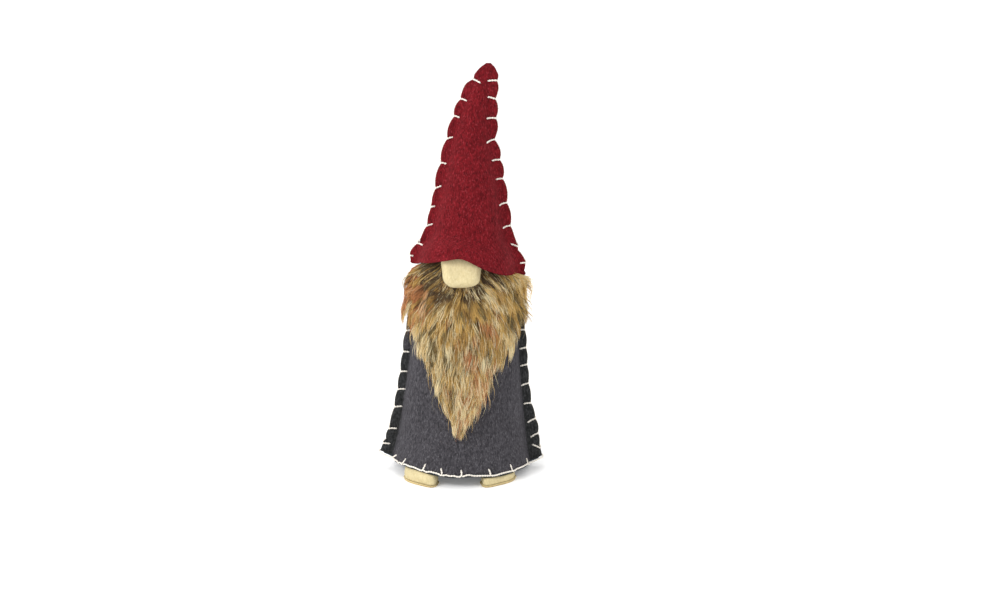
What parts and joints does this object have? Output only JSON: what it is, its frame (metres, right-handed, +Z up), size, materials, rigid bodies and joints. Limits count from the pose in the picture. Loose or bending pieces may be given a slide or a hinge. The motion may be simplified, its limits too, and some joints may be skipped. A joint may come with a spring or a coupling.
{
  "type": "gnome figurine",
  "caption": "Felt tomte gnome figurine: weighted grey coat with blanket stitching, fur beard that lifts, padded nose and feet, and a tall red pointed hat that lifts off.",
  "frame": {"origin": "middle of the underside, on the surface that the figure stands on", "axes": "+Z up along the figure to the hat's tip, the face looks along -Y, +X to the viewer's right when facing the face"},
  "size_m": [0.0836, 0.0686, 0.197],
  "materials": {
    "coat_felt": "matt pressed wool felt, charcoal grey",
    "base_felt": "matt pressed wool felt, near black",
    "hat_felt": "matt pressed wool felt, deep red",
    "skin_felt": "matt pressed felt, cream",
    "beard_pile": "long fur pile, tan with rust and dark streaks",
    "beard_knit": "knitted backing cloth, tan",
    "white_thread": "twisted cotton thread, off white",
    "filling": "loose fibre filling, white",
    "pouch_cloth": "plain woven cotton, natural",
    "pellet_plastic": "matt moulded beads, grey",
    "base_card": "pressed fibre board, brown"
  },
  "bodies": {
    "torso": {"coat_front_panel": "coat_felt", "coat_back_panel": "coat_felt", "base_panel": "base_felt", "base_board": "base_card", "weight_pouch": "pouch_cloth", "weight_pellets": "pellet_plastic", "body_stuffing": "filling", "coat_thread_left": "white_thread", "coat_thread_right": "white_thread", "head_thread": "white_thread", "hem_thread": "white_thread", "left_foot_sole": "skin_felt", "left_foot_upper": "skin_felt", "left_foot_stuffing": "filling", "right_foot_sole": "skin_felt", "right_foot_upper": "skin_felt", "right_foot_stuffing": "filling", "nose_cover": "skin_felt", "nose_stuffing": "filling", "beard_top_backing": "beard_knit", "beard_top_fur": "beard_pile", "beard_thread": "white_thread"},
    "beard_flap": {"beard_backing": "beard_knit", "beard_fur": "beard_pile"},
    "hat": {"hat_front_panel": "hat_felt", "hat_back_panel": "hat_felt", "hat_thread_left": "white_thread", "hat_thread_right": "white_thread", "hat_stuffing": "filling"}
  },
  "joints": [
    {"name": "hat_lift", "type": "slide", "parent": "torso", "child": "hat", "axis": [0, 0, 1], "range_m": [0, 0.06]},
    {"name": "beard_lift", "type": "hinge", "parent": "torso", "child": "beard_flap", "pos_m": [0.004, -0.0201, 0.0863], "axis": [-1, 0, 0], "range_deg": [0, 60]}
  ]
}
